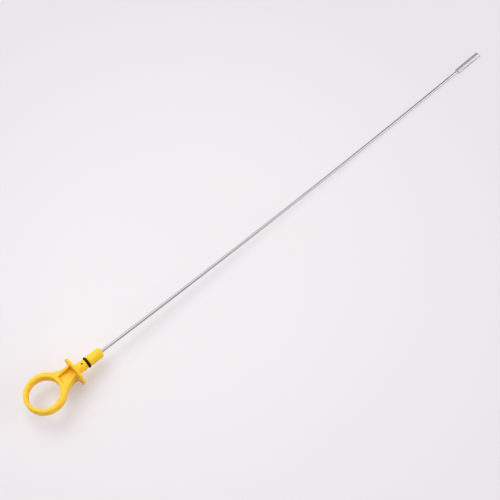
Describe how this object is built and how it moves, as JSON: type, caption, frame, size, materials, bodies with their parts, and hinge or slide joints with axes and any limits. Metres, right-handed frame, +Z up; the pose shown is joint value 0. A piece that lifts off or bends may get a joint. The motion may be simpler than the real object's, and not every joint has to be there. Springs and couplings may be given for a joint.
{
  "type": "engine oil dipstick",
  "caption": "Engine oil dipstick: moulded finger-ring handle with a flange, seal ring and plug nose, on a long steel wire with a pressed measuring blade.",
  "frame": {"origin": "on the resting surface, under the middle of the overall length", "axes": "+X along the stick from the finger ring towards the blade, +Z up from the surface it rests on"},
  "size_m": [0.5703, 0.0344, 0.0262],
  "materials": {
    "handle_plastic": "yellow moulded plastic, satin gloss",
    "seal_rubber": "black rubber, slightly oiled sheen",
    "rod_steel": "bright drawn steel wire, pressed flat at the blade"
  },
  "bodies": {
    "root": {"handle": "handle_plastic", "seal_ring": "seal_rubber", "gauge_rod": "rod_steel"}
  },
  "joints": []
}
